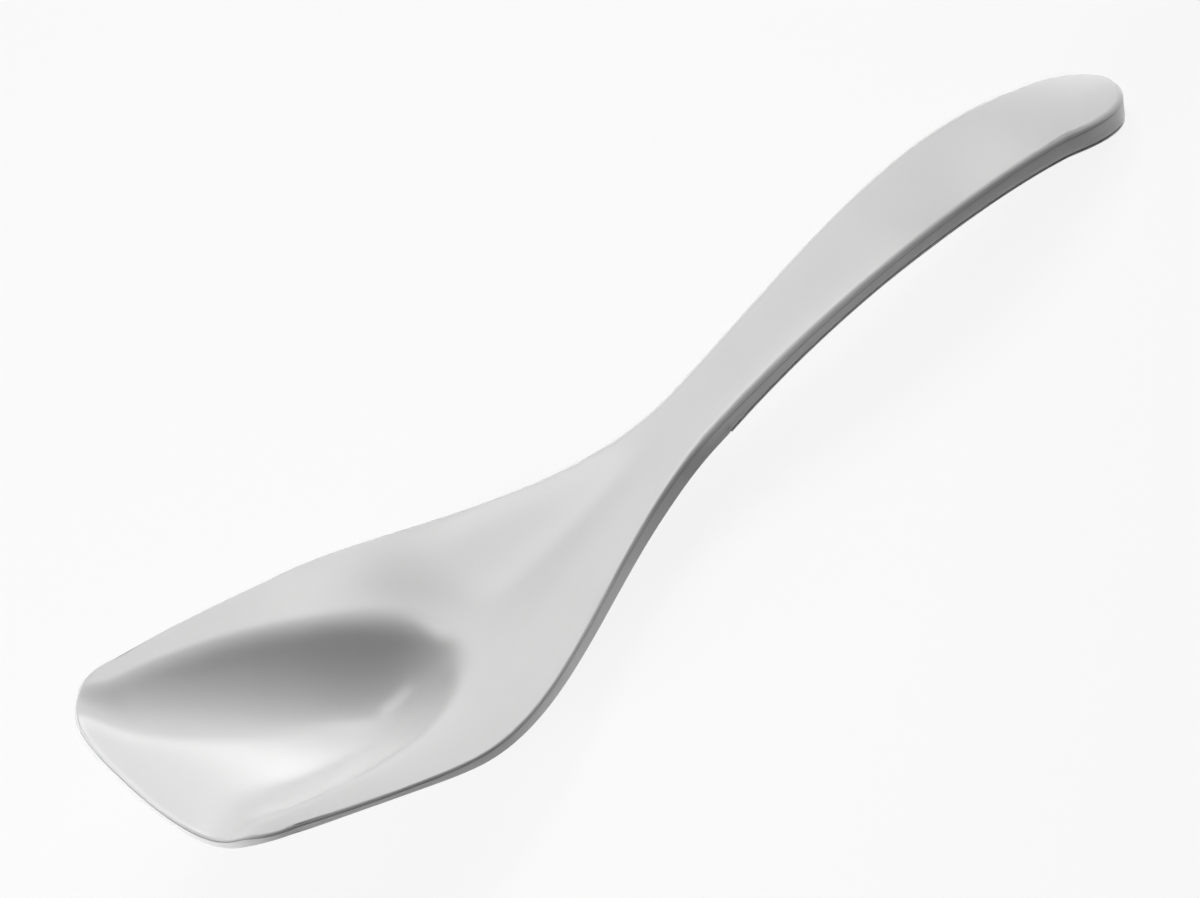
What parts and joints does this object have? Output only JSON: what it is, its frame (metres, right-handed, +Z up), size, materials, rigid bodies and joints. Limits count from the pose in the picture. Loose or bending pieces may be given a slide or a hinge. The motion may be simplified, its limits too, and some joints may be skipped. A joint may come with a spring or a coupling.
{
  "type": "serving spoon",
  "caption": "White plastic serving spoon with a broad square-fronted bowl, a deep oval well, a flared neck and an S-curved hollow handle closed by a bonded back.",
  "frame": {"origin": "middle of the spoon's outline on the table it lies on, below it", "axes": "+X along the spoon from the bowl's lip to the handle's end, +Y to the left of someone looking along +X, +Z up from the table, with the hollow of the bowl facing up"},
  "size_m": [0.2666, 0.0768, 0.0449],
  "materials": {
    "body_plastic": "gloss",
    "back_plastic": "gloss"
  },
  "bodies": {
    "root": {"spoon_body": "body_plastic", "handle_back": "back_plastic"}
  },
  "joints": []
}
